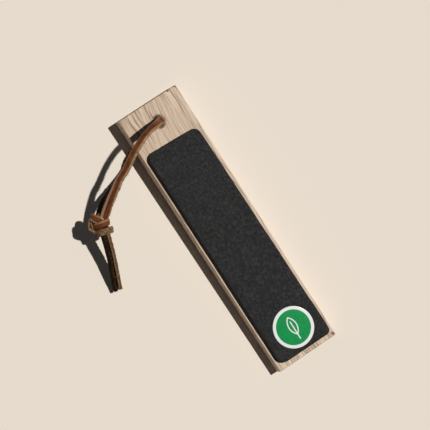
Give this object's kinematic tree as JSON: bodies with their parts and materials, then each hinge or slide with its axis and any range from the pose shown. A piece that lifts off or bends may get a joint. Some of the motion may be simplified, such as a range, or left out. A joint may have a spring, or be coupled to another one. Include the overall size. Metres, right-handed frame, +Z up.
{
  "type": "leather honing strop",
  "caption": "Flat hardwood paddle with a leather honing face, a round label and a knotted leather hanging lace that swings about its hole.",
  "frame": {"origin": "on the surface that the strop lies on, midway along and across the paddle", "axes": "+X across the paddle, +Y along it towards the hanging hole, +Z up"},
  "size_m": [0.0997, 0.1824, 0.0395],
  "materials": {
    "hardwood": "bare sanded pale hardwood with fine straight grain",
    "glue": "thin amber contact adhesive",
    "black_leather": "matte black buffed leather",
    "label": "printed satin vinyl, green disc with a white rim",
    "lace_leather": "waxed brown grain side with a tan fibrous flesh side"
  },
  "bodies": {
    "paddle": {"paddle_board": "hardwood", "glue_film": "glue", "strop_leather": "black_leather", "label_sticker": "label"},
    "lanyard": {"lace_through_hole": "lace_leather", "lace_upper_strand": "lace_leather", "lace_lower_strand": "lace_leather", "lace_knot": "lace_leather", "lace_right_tail": "lace_leather", "lace_left_tail": "lace_leather"}
  },
  "joints": [
    {"name": "lanyard_swing", "type": "hinge", "parent": "paddle", "child": "lanyard", "pos_m": [0, 0.07774, 0], "axis": [0, 0, 1], "range_deg": [-220, 0]}
  ]
}
